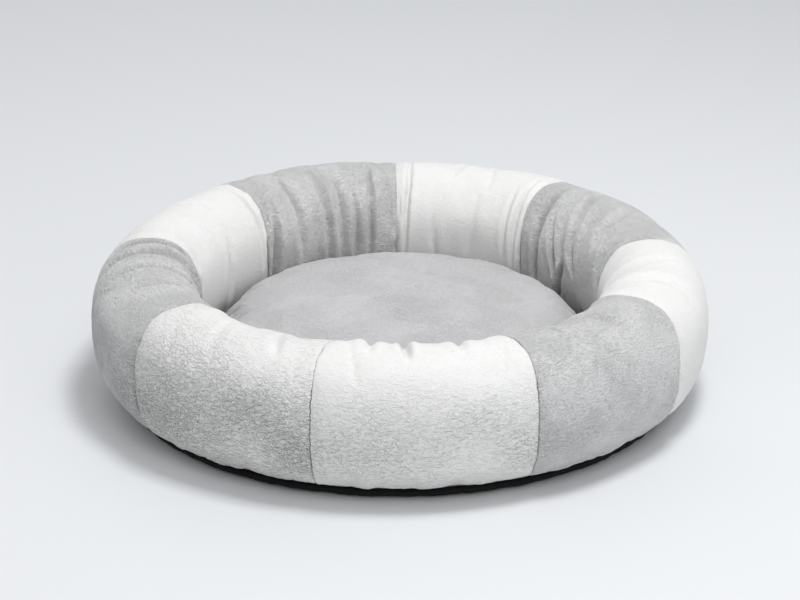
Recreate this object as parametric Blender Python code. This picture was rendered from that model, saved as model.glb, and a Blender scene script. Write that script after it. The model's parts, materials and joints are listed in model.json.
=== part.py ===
# Round pet bed: a patchwork ring bolster on a thin padded base, with a loose zipped cushion in the well.
# Metres, +Z up. The origin is the middle of the underside, on the surface that the bed stands on.
# +Y points to the back of the bed, +X to its right. Azimuths are degrees anticlockwise from +X.

import bmesh
import bpy
from math import cos, degrees, radians, sin
from mathutils import Matrix, Vector

# overall
OUTER_DIAMETER = 0.600
GAP = 0.0003                  # between pieces that touch

# bolster: a tube with a rounded-square section, swept round the bed
TUBE_WIDTH = 0.1036
TUBE_HEIGHT = 0.1330
TUBE_SINK = 0.0011            # how far the tube's lowest line settles into the wadding
TUBE_SQUARENESS = 2.65        # exponent of the superellipse section, 2 is a plain ellipse
HEM_ANGLE = 68.0              # below the tube's middle, where each panel is sewn to the base
PLUSH = 0.0025                # plush cloth with its pile
SECTION_STEPS = 16            # from hem to hem over the top
FILL_FOOT = 0.032             # width of the stuffing's flat underside
PANEL_STEPS = 5               # along each panel

# panels anticlockwise from the seam at FIRST_SEAM: name, colour, degrees of the ring
FIRST_SEAM = 7.7
PANELS = (
    ("panel_right_rear", "grey", 43.0),
    ("panel_rear", "white", 40.4),
    ("panel_left_rear", "grey", 42.7),
    ("panel_left_upper", "white", 38.7),
    ("panel_left", "grey", 42.7),
    ("panel_front_left", "white", 39.4),
    ("panel_front", "white", 39.9),
    ("panel_front_right", "grey", 36.5),
    ("panel_right", "white", 36.7),
)

# base
BASE_CLOTH = 0.0015
WADDING = 0.005
FLOOR_CLOTH = 0.0015
BASE_TURN_UP = 0.006          # width of the base cloth's rim, where it rises to the hem
BASE_BEND = 0.0036            # the part of that width that curves

FLOOR_TURN_UP = 0.012         # width of the floor cloth's edge, where it rises to the inner hem

# cushion
CUSHION_CLEARANCE = 0.0094    # from the cushion's seam to the narrowest part of the well
CUSHION_SEAM_HEIGHT = 0.032
CUSHION_CROWN_HEIGHT = 0.092
CUSHION_SIDE = 0.037          # rounded edge outside the flat part that lies on the floor cloth
TOP_ROUNDNESS = (2.2, 4.0)    # exponents along the radius and the height
SIDE_ROUNDNESS = 2.2
CUSHION_STEPS = 36            # round the cushion
COVER_STEPS = 8               # from the seam to the middle

# zip, set into the cushion's seam at the back
ZIP_MIDDLE = 90.0
ZIP_SPAN = 100.0
ZIP_STEPS = 25
SLOT_MARGIN = 1.0             # degrees that the slot is longer than the zip
ZIP_DEPTH = 0.0055            # from the cover's face to the back of the tapes
TAPE_HEIGHT = 0.0056
TAPE_THICKNESS = 0.0010
COIL_HEIGHT = 0.0020
COIL_THICKNESS = 0.0022
STOP_LENGTH = 0.0030
STOP_THICKNESS = 0.0012
SLIDER_LENGTH = 0.010
SLIDER_PLATE = 0.0015
SLIDER_CLEARANCE = 0.0004
SLIDER_WALL = 0.0008
SLIDER_WRAP = 0.0018          # how far its walls reach back over the coils
END_PLAY = 0.001              # between the slider and a stop
PULL_LENGTH = 0.0115
PULL_HEIGHT = 0.0046
PULL_THICKNESS = 0.0009
PULL_CORNER = 0.0018
PIN_RADIUS = 0.0005
PIN_CLEARANCE = 0.0003
EYE_WALL = 0.0007
LUG_THICKNESS = 0.0009
LUG_WIDTH = 0.0030

# blank care label, a flap sewn into the cushion's seam
LABEL_AZIMUTH = 205.0
LABEL_WIDTH = 0.030
LABEL_HEIGHT = 0.018
LABEL_THICKNESS = 0.0006
LABEL_TUCK = 0.002            # above the seam
LABEL_STEPS = 4

COLOURS = {
    "white": ((0.86, 0.85, 0.83, 1.0), 0.95, 0.0),
    "grey": ((0.52, 0.52, 0.53, 1.0), 0.95, 0.0),
    "black": ((0.03, 0.03, 0.03, 1.0), 0.80, 0.0),
    "fill": ((0.93, 0.93, 0.92, 1.0), 1.00, 0.0),
    "zip": ((0.45, 0.45, 0.46, 1.0), 0.60, 0.0),
    "metal": ((0.60, 0.60, 0.61, 1.0), 0.35, 1.0),
    "label": ((0.90, 0.90, 0.88, 1.0), 0.70, 0.0),
}

# heights and radii that follow from the sizes above
WADDING_Z = BASE_CLOTH + GAP
FLOOR_Z = WADDING_Z + WADDING + GAP
TUBE_RADIUS = (OUTER_DIAMETER - TUBE_WIDTH) / 2
TUBE_MIDDLE = FLOOR_Z - TUBE_SINK + TUBE_HEIGHT / 2
CUSHION_Z = FLOOR_Z + FLOOR_CLOTH + GAP
CUSHION_RADIUS = OUTER_DIAMETER / 2 - TUBE_WIDTH - CUSHION_CLEARANCE
CUSHION_FLAT_RADIUS = CUSHION_RADIUS - CUSHION_SIDE
ZIP_BACK = CUSHION_RADIUS - ZIP_DEPTH
COIL_BACK = ZIP_BACK + TAPE_THICKNESS + GAP
COIL_FACE = COIL_BACK + COIL_THICKNESS
SLOT_HALF_HEIGHT = TAPE_HEIGHT + GAP * 1.5


def clear_scene():
    for item in list(bpy.data.objects):
        bpy.data.objects.remove(item, do_unlink=True)


def material(name, finish):
    colour, roughness, metallic = COLOURS[finish]
    made = bpy.data.materials.new(name)
    made.use_nodes = True
    shader = made.node_tree.nodes["Principled BSDF"]
    shader.inputs["Base Color"].default_value = colour
    shader.inputs["Roughness"].default_value = roughness
    shader.inputs["Metallic"].default_value = metallic
    return made


def add_object(name, bm, finish, location=(0, 0, 0), turn=0.0, smooth=True):
    bmesh.ops.recalc_face_normals(bm, faces=bm.faces)
    mesh = bpy.data.meshes.new(name)
    bm.to_mesh(mesh)
    bm.free()
    if smooth:
        mesh.shade_smooth()
        mesh.set_sharp_from_angle(angle=radians(40))
    item = bpy.data.objects.new(name, mesh)
    item.location = location
    item.rotation_euler = (0, 0, radians(turn))
    mesh.materials.append(material(name, finish))
    bpy.context.scene.collection.objects.link(item)
    return item


def tube_point(angle, inset):
    """Point of the bolster's section, as (radius, height), at an angle about the tube's middle."""
    half_width = TUBE_WIDTH / 2 - inset
    half_height = TUBE_HEIGHT / 2 - inset
    across = abs(cos(angle) / half_width) ** TUBE_SQUARENESS
    up = abs(sin(angle) / half_height) ** TUBE_SQUARENESS
    reach = (across + up) ** (-1 / TUBE_SQUARENESS)
    return TUBE_RADIUS + reach * cos(angle), TUBE_MIDDLE + reach * sin(angle)


def ladder(bm, outer, inner, azimuth):
    """A strip of quads between two rows of (radius, height) points, in the plane at an azimuth."""
    turn = Matrix.Rotation(radians(azimuth), 4, "Z")
    rows = [[bm.verts.new(turn @ Vector((r, 0, z))) for r, z in row] for row in (outer, inner)]
    faces = []
    for i in range(len(outer) - 1):
        corners = (rows[0][i], rows[0][i + 1], rows[1][i + 1], rows[1][i])
        faces.append(bm.faces.new(corners))
    return faces


def sweep(bm, faces, degrees_round, steps):
    """Spin a section's faces about the bed's axis; returns the faces at the far end."""
    made = bmesh.ops.spin(bm, geom=faces, cent=(0, 0, 0), axis=(0, 0, 1), dvec=(0, 0, 0),
                          angle=radians(degrees_round), steps=steps, use_duplicate=False)
    return [item for item in made["geom_last"] if isinstance(item, bmesh.types.BMFace)]


def turned(profile, steps):
    """A closed solid of revolution; the profile of (radius, height) runs from axis to axis."""
    bm = bmesh.new()
    verts = [bm.verts.new((r, 0, z)) for r, z in profile]
    edges = [bm.edges.new(pair) for pair in zip(verts, verts[1:])]
    bmesh.ops.spin(bm, geom=verts + edges, cent=(0, 0, 0), axis=(0, 0, 1), dvec=(0, 0, 0),
                   angle=radians(360), steps=steps, use_merge=True, use_duplicate=False)
    bmesh.ops.remove_doubles(bm, verts=bm.verts, dist=0.00001)
    return bm


def ring_sector(r_low, r_high, z_low, z_high, middle, span, steps):
    bm = bmesh.new()
    outer = [(r_high, z_low), (r_high, z_high)]
    inner = [(r_low, z_low), (r_low, z_high)]
    faces = ladder(bm, outer, inner, middle - span / 2)
    sweep(bm, faces, span, steps)
    return bm


def block(size, middle):
    bm = bmesh.new()
    bmesh.ops.create_cube(bm, size=1.0)
    bmesh.ops.scale(bm, vec=size, verts=bm.verts)
    bmesh.ops.translate(bm, vec=middle, verts=bm.verts)
    return bm


def upright_cylinder(radius, height, middle, sides=12):
    bm = bmesh.new()
    bmesh.ops.create_cone(bm, cap_ends=True, segments=sides, radius1=radius, radius2=radius, depth=height)
    bmesh.ops.translate(bm, vec=middle, verts=bm.verts)
    return bm


def combine(item, bm, operation):
    """Apply an exact Boolean with another shape, then drop that shape."""
    bmesh.ops.recalc_face_normals(bm, faces=bm.faces)
    mesh = bpy.data.meshes.new("tool")
    bm.to_mesh(mesh)
    bm.free()
    tool = bpy.data.objects.new("tool", mesh)
    tool.matrix_world = item.matrix_world
    bpy.context.scene.collection.objects.link(tool)
    change = item.modifiers.new("change", "BOOLEAN")
    change.operation = operation
    change.solver = "EXACT"
    change.object = tool
    graph = bpy.context.evaluated_depsgraph_get()
    graph.update()
    result = bpy.data.meshes.new_from_object(item.evaluated_get(graph))
    item.modifiers.clear()
    item.data = result
    bpy.data.objects.remove(tool, do_unlink=True)


def section(inset):
    """The bolster's section from the outer hem over the top to the inner hem."""
    hem = radians(HEM_ANGLE)
    step = (radians(180) + 2 * hem) / SECTION_STEPS
    return [tube_point(i * step - hem, inset) for i in range(SECTION_STEPS + 1)]


def build_panels():
    outer = section(0.0)
    inner = section(PLUSH)
    seam_share = degrees(GAP / TUBE_RADIUS)
    start = FIRST_SEAM
    for name, colour, span in PANELS:
        bm = bmesh.new()
        faces = ladder(bm, outer, inner, start + seam_share / 2)
        sweep(bm, faces, span - seam_share, PANEL_STEPS)
        add_object(f"{name}_{colour}", bm, colour)
        start += span


def build_bolster_fill():
    """The stuffing: a full ring on the panels' own stations, flat where it lies on the wadding."""
    foot = [(TUBE_RADIUS - FILL_FOOT / 2, FLOOR_Z), (TUBE_RADIUS + FILL_FOOT / 2, FLOOR_Z)]
    outline = section(PLUSH + GAP) + foot
    bm = bmesh.new()
    azimuth = Matrix.Rotation(radians(FIRST_SEAM), 4, "Z")
    verts = [bm.verts.new(azimuth @ Vector((r, 0, z))) for r, z in outline]
    edges = [bm.edges.new((vert, verts[i - 1])) for i, vert in enumerate(verts)]
    loop = verts + edges
    for _, _, span in PANELS:
        made = bmesh.ops.spin(bm, geom=loop, cent=(0, 0, 0), axis=(0, 0, 1), dvec=(0, 0, 0),
                              angle=radians(span), steps=PANEL_STEPS, use_duplicate=False)
        loop = made["geom_last"]
    bmesh.ops.remove_doubles(bm, verts=bm.verts, dist=0.00001)
    add_object("bolster_fill", bm, "fill")


def build_base():
    hem_r, hem_z = tube_point(radians(-HEM_ANGLE), 0.0)
    top = hem_z - GAP
    rim = hem_r - BASE_TURN_UP
    bend = rim + BASE_BEND
    pan = [
        (0, 0), (rim, 0), (bend, BASE_CLOTH), (hem_r, top),
        (hem_r - BASE_CLOTH, top), (bend - BASE_CLOTH, BASE_CLOTH * 2),
        (rim - BASE_CLOTH, BASE_CLOTH), (0, BASE_CLOTH),
    ]
    steps = len(PANELS) * PANEL_STEPS
    add_object("base_cloth", turned(pan, steps), "black")

    wadding_r = rim - BASE_CLOTH
    wadding = [(0, WADDING_Z), (wadding_r, WADDING_Z), (wadding_r, WADDING_Z + WADDING),
               (0, WADDING_Z + WADDING)]
    add_object("base_wadding", turned(wadding, steps), "fill")

    floor_r, inner_hem_z = tube_point(radians(180 + HEM_ANGLE), 0.0)
    flat_r = floor_r - FLOOR_TURN_UP
    floor = [(0, FLOOR_Z), (floor_r, FLOOR_Z), (floor_r, inner_hem_z - GAP),
             (flat_r, FLOOR_Z + FLOOR_CLOTH), (0, FLOOR_Z + FLOOR_CLOTH)]
    add_object("floor_cloth", turned(floor, steps), "grey")


def cushion_top(inset):
    """Top half of the cushion's outline from the seam to the axis, as (radius, height)."""
    radius = CUSHION_RADIUS - inset
    rise = CUSHION_CROWN_HEIGHT - CUSHION_SEAM_HEIGHT - inset
    along, up = TOP_ROUNDNESS
    points = []
    for i in range(COVER_STEPS + 1):
        angle = radians(90) * i / COVER_STEPS
        r = radius * cos(angle) ** (2 / along) if i < COVER_STEPS else 0.0
        z = CUSHION_SEAM_HEIGHT + rise * sin(angle) ** (2 / up)
        points.append((r, z))
    return points


def cushion_bottom(inset):
    """Bottom half from the seam to the axis: a rounded side, then flat."""
    side = CUSHION_RADIUS - CUSHION_FLAT_RADIUS - inset
    drop = CUSHION_SEAM_HEIGHT - CUSHION_Z - inset
    points = []
    steps = COVER_STEPS - 2
    for i in range(steps + 1):
        angle = radians(90) * i / steps
        r = CUSHION_FLAT_RADIUS + side * max(cos(angle), 0.0) ** (2 / SIDE_ROUNDNESS)
        z = CUSHION_SEAM_HEIGHT - drop * sin(angle) ** (2 / SIDE_ROUNDNESS)
        points.append((r, z))
    return points + [(0.0, points[-1][1])]


def shifted(points, lift):
    """The same outline with its first point, at the seam, moved up or down by half a gap."""
    first_r, first_z = points[0]
    return [(first_r, first_z + lift)] + points[1:]


def closed_shell(profile):
    """A turned bowl: its outline goes out along one face, round the edge and back along the other."""
    half = len(profile) // 2
    outline = profile[:half][::-1] + profile[half:][::-1]
    return turned(outline, CUSHION_STEPS)


def build_cushion():
    half_gap = GAP / 2
    top = shifted(cushion_top(0.0), half_gap) + shifted(cushion_top(PLUSH), half_gap)[::-1]
    bottom = shifted(cushion_bottom(0.0), -half_gap) + shifted(cushion_bottom(PLUSH), -half_gap)[::-1]
    under = PLUSH + GAP
    fill = cushion_bottom(under)[::-1] + cushion_top(under)[1:]
    shells = (
        ("cushion_top_cover", closed_shell(top), "grey"),
        ("cushion_bottom_cover", closed_shell(bottom), "grey"),
        ("cushion_fill", turned(fill, CUSHION_STEPS), "fill"),
    )
    for name, bm, finish in shells:
        item = add_object(name, bm, finish)
        slot = ring_sector(ZIP_BACK - GAP, CUSHION_RADIUS + ZIP_DEPTH,
                           CUSHION_SEAM_HEIGHT - SLOT_HALF_HEIGHT, CUSHION_SEAM_HEIGHT + SLOT_HALF_HEIGHT,
                           ZIP_MIDDLE, ZIP_SPAN + SLOT_MARGIN, ZIP_STEPS)
        combine(item, slot, "DIFFERENCE")


def build_zip():
    seam = CUSHION_SEAM_HEIGHT
    for side, sign in (("upper", 1), ("lower", -1)):
        near = seam + sign * GAP / 2
        tape_far = near + sign * TAPE_HEIGHT
        coil_far = near + sign * COIL_HEIGHT
        tape = ring_sector(ZIP_BACK, ZIP_BACK + TAPE_THICKNESS, min(near, tape_far), max(near, tape_far),
                           ZIP_MIDDLE, ZIP_SPAN, ZIP_STEPS)
        add_object(f"zip_tape_{side}", tape, "zip")
        coil = ring_sector(COIL_BACK, COIL_FACE, min(near, coil_far), max(near, coil_far),
                           ZIP_MIDDLE, ZIP_SPAN, ZIP_STEPS)
        add_object(f"zip_coil_{side}", coil, "zip")

    stop_span = degrees(STOP_LENGTH / COIL_FACE)
    stop_r = COIL_FACE + GAP
    for end, sign in (("closed", -1), ("open", 1)):
        middle = ZIP_MIDDLE + sign * (ZIP_SPAN - stop_span) / 2
        stop = ring_sector(stop_r, stop_r + STOP_THICKNESS, seam - COIL_HEIGHT, seam + COIL_HEIGHT,
                           middle, stop_span, 1)
        add_object(f"zip_stop_{end}_end", stop, "metal")


def slider_rest_azimuth():
    """The slider rests by the stop at the closed end."""
    from_end = STOP_LENGTH + END_PLAY + SLIDER_LENGTH / 2
    return ZIP_MIDDLE - ZIP_SPAN / 2 + degrees(from_end / COIL_FACE)


def build_slider():
    """Built at azimuth 0 about the bed's axis, then turned to its place: +X out, +Y along the zip."""
    seam = CUSHION_SEAM_HEIGHT
    azimuth = slider_rest_azimuth()
    plate_back = COIL_FACE + SLIDER_CLEARANCE
    plate_face = plate_back + SLIDER_PLATE
    wall_z = COIL_HEIGHT + GAP / 2 + SLIDER_CLEARANCE + SLIDER_WALL / 2
    height = 2 * wall_z + SLIDER_WALL
    item = add_object(
        "zip_slider",
        block((SLIDER_PLATE, SLIDER_LENGTH, height), (plate_back + SLIDER_PLATE / 2, 0, seam)),
        "metal", turn=azimuth, smooth=False)
    bpy.context.view_layer.update()
    root = plate_back + SLIDER_PLATE / 2
    wall_depth = SLIDER_WRAP + SLIDER_PLATE / 2
    pin_x = plate_face + GAP + EYE_WALL + PIN_CLEARANCE + PIN_RADIUS
    lug_z = (PULL_HEIGHT + LUG_THICKNESS) / 2 + PIN_CLEARANCE
    lug_depth = pin_x + PIN_RADIUS * 2 - root
    for sign in (1, -1):
        wall = block((wall_depth, SLIDER_LENGTH, SLIDER_WALL),
                     (root - wall_depth / 2, 0, seam + sign * wall_z))
        combine(item, wall, "UNION")
        lug = block((lug_depth, LUG_WIDTH, LUG_THICKNESS),
                    (root + lug_depth / 2, 0, seam + sign * lug_z))
        combine(item, lug, "UNION")
    pin = upright_cylinder(PIN_RADIUS, 2 * lug_z, (pin_x, 0, seam))
    combine(item, pin, "UNION")

    eye_r = PIN_RADIUS + PIN_CLEARANCE + EYE_WALL
    turn = Matrix.Rotation(radians(azimuth), 4, "Z")
    place = turn @ Vector((pin_x, 0, seam))
    pull = add_object("zip_pull", upright_cylinder(eye_r, PULL_HEIGHT, (0, 0, 0), sides=16), "metal",
                      location=place, turn=azimuth, smooth=False)
    bpy.context.view_layer.update()
    tab_start = PIN_RADIUS + PIN_CLEARANCE + EYE_WALL / 2
    tab_length = PULL_LENGTH - tab_start
    tab = block((PULL_THICKNESS, tab_length, PULL_HEIGHT), (0, tab_start + tab_length / 2, 0))
    tip_corners = [edge for edge in tab.edges
                   if edge.verts[0].co.y > PULL_LENGTH / 2 and edge.verts[1].co.y > PULL_LENGTH / 2
                   and abs(edge.verts[0].co.x - edge.verts[1].co.x) > PULL_THICKNESS / 2]
    bmesh.ops.bevel(tab, geom=tip_corners, offset=PULL_CORNER, segments=4, affect="EDGES",
                    profile=0.5, material=-1)
    combine(pull, tab, "UNION")
    bore = upright_cylinder(PIN_RADIUS + PIN_CLEARANCE, PULL_HEIGHT * 2, (0, 0, 0), sides=16)
    combine(pull, bore, "DIFFERENCE")


def build_label():
    span = degrees(LABEL_WIDTH / CUSHION_RADIUS)
    face = CUSHION_RADIUS + GAP
    label = ring_sector(face, face + LABEL_THICKNESS, CUSHION_SEAM_HEIGHT - LABEL_HEIGHT,
                        CUSHION_SEAM_HEIGHT + LABEL_TUCK, LABEL_AZIMUTH, span, LABEL_STEPS)
    add_object("care_label", label, "label")


clear_scene()
build_base()
build_panels()
build_bolster_fill()
build_cushion()
build_zip()
build_slider()
build_label()
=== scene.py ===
import json
import math
import bmesh
import bpy
import numpy as np
from mathutils import Matrix, Vector


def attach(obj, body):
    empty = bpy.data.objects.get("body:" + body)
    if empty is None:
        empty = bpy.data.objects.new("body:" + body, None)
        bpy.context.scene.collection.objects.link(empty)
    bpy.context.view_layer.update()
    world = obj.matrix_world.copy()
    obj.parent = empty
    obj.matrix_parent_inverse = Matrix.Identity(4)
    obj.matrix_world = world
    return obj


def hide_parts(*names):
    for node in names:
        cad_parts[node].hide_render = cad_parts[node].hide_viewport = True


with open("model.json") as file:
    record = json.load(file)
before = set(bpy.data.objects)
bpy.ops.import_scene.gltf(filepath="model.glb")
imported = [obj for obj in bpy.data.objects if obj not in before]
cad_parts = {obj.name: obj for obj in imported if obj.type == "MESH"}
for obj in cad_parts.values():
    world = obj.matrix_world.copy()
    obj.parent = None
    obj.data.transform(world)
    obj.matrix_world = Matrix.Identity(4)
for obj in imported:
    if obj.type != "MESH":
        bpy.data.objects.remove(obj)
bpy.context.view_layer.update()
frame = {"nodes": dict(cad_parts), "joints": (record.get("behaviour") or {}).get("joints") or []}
scene = bpy.context.scene
print("frame loaded")


# the frame: where the CAD pieces are

def readPoints(mesh, kind="co"):
    # every vertex's place, or its normal
    flat = np.empty(len(mesh.vertices) * 3, dtype=np.float32)
    mesh.vertices.foreach_get(kind, flat)
    return flat.reshape(-1, 3).astype(float)


def nodePoints(node):
    return readPoints(frame["nodes"][node].data)


def fromAxis(points):
    return np.hypot(points[:, 0], points[:, 1])


def azimuthSpan(node):
    # first and last azimuth of a node, in degrees anticlockwise from +X
    points = nodePoints(node)
    middle = points[:, :2].mean(axis=0)
    centre = math.atan2(middle[1], middle[0])
    around = np.arctan2(points[:, 1], points[:, 0]) - centre
    around = np.degrees((around + math.pi) % (2 * math.pi) - math.pi)
    return math.degrees(centre) + around.min(), math.degrees(centre) + around.max()


def radii(node):
    away = fromAxis(nodePoints(node))
    return float(away.min()), float(away.max())


# small numeric tools

def lattice(cell, seed):
    mixed = cell[..., 0] * 374761393 + cell[..., 1] * 668265263 + cell[..., 2] * 1440662683 + seed * 362437
    mixed = (mixed ^ (mixed >> 13)) * 1274126177
    mixed = mixed ^ (mixed >> 16)
    return (mixed & 0xFFFF) / 32767.5 - 1.0


def noise(points, size, seed=0):
    # smooth value noise from -1 to 1, with features about size metres across
    places = points / size
    cell = np.floor(places).astype(np.int64)
    part = places - cell
    part = part * part * part * (part * (part * 6 - 15) + 10)
    total = 0.0
    for corner in ((i, j, k) for i in (0, 1) for j in (0, 1) for k in (0, 1)):
        step = np.array(corner)
        share = np.prod(np.where(step == 1, part, 1 - part), axis=1)
        total = total + share * lattice(cell + step, seed)
    return total


def flatNoise(first, second, size, seed):
    return noise(np.stack([first, second, first * 0], axis=1), size, seed)


def polar(radius, azimuth, height):
    return np.stack([radius * np.cos(azimuth), radius * np.sin(azimuth), height], axis=1)


def bell(distance, width):
    return np.exp(-(distance / width) ** 2)


def ramp(value, low, high):
    part = np.clip((value - low) / (high - low), 0, 1)
    return part * part * (3 - 2 * part)


def resample(points, count):
    # evenly spaced points along a polyline, and its length
    steps = np.hypot(*np.diff(points, axis=0).T)
    along = np.concatenate([[0], np.cumsum(steps)])
    even = np.linspace(0, along[-1], count)
    placed = np.stack([np.interp(even, along, points[:, i]) for i in range(points.shape[1])], axis=1)
    return placed, along[-1]


# mesh tools

def addPiece(name, bm, material, smooth=True):
    mesh = bpy.data.meshes.new(name)
    bm.to_mesh(mesh)
    bm.free()
    if smooth:
        mesh.shade_smooth()
    piece = bpy.data.objects.new(name, mesh)
    scene.collection.objects.link(piece)
    if material:
        mesh.materials.append(material)
    return piece


def setPoints(mesh, points):
    mesh.vertices.foreach_set("co", np.asarray(points, dtype=np.float32).ravel())
    mesh.update()


def cornerVerts(mesh):
    corners = np.empty(len(mesh.loops), dtype=np.int32)
    mesh.loops.foreach_get("vertex_index", corners)
    return corners


def getPattern(mesh):
    # the UV map "pattern", one place for each vertex
    flat = np.empty(len(mesh.loops) * 2, dtype=np.float32)
    mesh.uv_layers["pattern"].data.foreach_get("uv", flat)
    result = np.zeros((len(mesh.vertices), 2))
    result[cornerVerts(mesh)] = flat.reshape(-1, 2)
    return result


def setCloth(mesh, values):
    # the UV map "cloth", in metres, which the materials read
    layer = mesh.uv_layers.new(name="cloth")
    layer.data.foreach_set("uv", np.asarray(values, dtype=np.float32)[cornerVerts(mesh)].ravel())


def bake(piece):
    # replace a piece's mesh with its evaluated one, and drop the modifiers
    graph = bpy.context.evaluated_depsgraph_get()
    graph.update()
    made = bpy.data.meshes.new_from_object(piece.evaluated_get(graph), depsgraph=graph)
    piece.modifiers.clear()
    if piece.data.shape_keys:
        piece.shape_key_clear()
    old = piece.data
    piece.data = made
    made.name = piece.name
    bpy.data.meshes.remove(old)
    return made


def refine(piece, levels):
    change = piece.modifiers.new("finer", "SUBSURF")
    change.levels = levels
    change.render_levels = levels
    change.use_limit_surface = False
    change.boundary_smooth = "PRESERVE_CORNERS"
    return bake(piece)


def gridPiece(name, columns, rows, material):
    # a grid whose UV map "pattern" runs from 0 to 1 both ways
    bm = bmesh.new()
    bm.loops.layers.uv.new("pattern")
    bmesh.ops.create_grid(bm, x_segments=columns, y_segments=rows, size=1.0, calc_uvs=True)
    return addPiece(name, bm, material)


def spinPiece(name, outline, steps, material, closed):
    # a profile of (radius, height) points turned once about the Z axis
    bm = bmesh.new()
    verts = [bm.verts.new((r, 0, z)) for r, z in outline]
    edges = [bm.edges.new(pair) for pair in zip(verts, verts[1:])]
    if closed:
        edges.append(bm.edges.new((verts[-1], verts[0])))
    bmesh.ops.spin(bm, geom=verts + edges, cent=(0, 0, 0), axis=(0, 0, 1), angle=2 * math.pi,
                   steps=steps, use_merge=True)
    bmesh.ops.remove_doubles(bm, verts=bm.verts, dist=0.00001)
    bmesh.ops.recalc_face_normals(bm, faces=bm.faces)
    return addPiece(name, bm, material)


def faceUp(piece, up):
    # turn an open sheet's faces so that its middle looks up or down
    normals = readPoints(piece.data, "normal")
    if (normals[:, 2].sum() > 0) != up:
        piece.data.flip_normals()


def setShare(mesh, name, values):
    # one value for each vertex, which a material reads
    layer = mesh.attributes.new(name, "FLOAT", "POINT")
    layer.data.foreach_set("value", np.asarray(values, dtype=np.float32))


def pushOut(mesh, amount):
    setPoints(mesh, readPoints(mesh) + readPoints(mesh, "normal") * np.asarray(amount)[:, None])


# materials

def addNode(tree, kind, inputs=None, **settings):
    node = tree.nodes.new(kind)
    for key, value in settings.items():
        setattr(node, key, value)
    for key, value in (inputs or {}).items():
        if isinstance(value, bpy.types.NodeSocket):
            tree.links.new(value, node.inputs[key])
        else:
            node.inputs[key].default_value = value
    return node


def startMaterial(name, roughness, sheen=0.0, sheenRoughness=0.5, specular=0.2, metallic=0.0):
    material = bpy.data.materials.new(name)
    material.use_nodes = True
    tree = material.node_tree
    shader = tree.nodes["Principled BSDF"]
    finish = {"Roughness": roughness, "Sheen Weight": sheen, "Sheen Roughness": sheenRoughness,
              "Specular IOR Level": specular, "Metallic": metallic}
    for socket, value in finish.items():
        shader.inputs[socket].default_value = value
    return material, tree, shader


def mathNode(tree, operation, first, second=0.0):
    return addNode(tree, "ShaderNodeMath", {0: first, 1: second}, operation=operation).outputs[0]


def noiseNode(tree, coordinates, scale, detail=2.0, roughness=0.5, distortion=0.0):
    return addNode(tree, "ShaderNodeTexNoise", {"Vector": coordinates, "Scale": scale, "Detail": detail,
                                                "Roughness": roughness, "Distortion": distortion}).outputs[0]


def mixColour(tree, factor, first, second):
    node = addNode(tree, "ShaderNodeMix", data_type="RGBA")
    for socket, value in ((node.inputs[0], factor), (node.inputs[6], first), (node.inputs[7], second)):
        if isinstance(value, bpy.types.NodeSocket):
            tree.links.new(value, socket)
        else:
            socket.default_value = (*value, 1)
    return node.outputs[2]


def rangeNode(tree, value, low, high, toLow=0.0, toHigh=1.0):
    return addNode(tree, "ShaderNodeMapRange", {"Value": value, "From Min": low, "From Max": high,
                                                "To Min": toLow, "To Max": toHigh}).outputs[0]


def bumpNode(tree, height, distance, strength, below=None):
    inputs = {"Height": height, "Distance": distance, "Strength": strength}
    if below:
        inputs["Normal"] = below
    return addNode(tree, "ShaderNodeBump", inputs).outputs[0]


# light is the pile's own colour and worn is where it was brushed the other way; the darkest colour is painted
# shade, laid in the hollows between the curls and in the gaps between the fibres. shade and the hollow value
# are how much painted shade deep pile gets on its curls and between them, which also paints whole deep-pile
# panels darker; shy is the least depth of pile, for both its relief and its painted shade, and speck is how
# light the painted shade between the fibres stays
plushFinishes = {
    "whitePlush": {
        "light": (0.785, 0.785, 0.775), "paintedShade": (0.45, 0.45, 0.44), "worn": (0.765, 0.76, 0.745),
        "curl": 290.0, "curlBump": 0.0030, "fibreBump": 0.0005, "napShare": 0.35, "sheen": 0.15,
        "hollowShade": 0.74, "shade": 0.26, "shy": 0.07, "speck": 0.90},
    "greyPlush": {
        "light": (0.66, 0.66, 0.66), "paintedShade": (0.38, 0.38, 0.38), "worn": (0.55, 0.55, 0.55),
        "curl": 480.0, "curlBump": 0.0012, "fibreBump": 0.0007, "napShare": 0.8, "sheen": 0.7,
        "hollowShade": 0.60, "shade": 0.0, "shy": 0.5, "speck": 0.72},
    "cushionPlush": {
        "light": (0.575, 0.575, 0.582), "paintedShade": (0.38, 0.38, 0.385), "worn": (0.52, 0.52, 0.527),
        "curl": 560.0, "curlBump": 0.0008, "fibreBump": 0.0005, "napShare": 0.8, "sheen": 0.25,
        "hollowShade": 0.40, "shade": 0.0, "shy": 0.35, "speck": 0.80},
}
pileLean = math.radians(-35)


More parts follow.
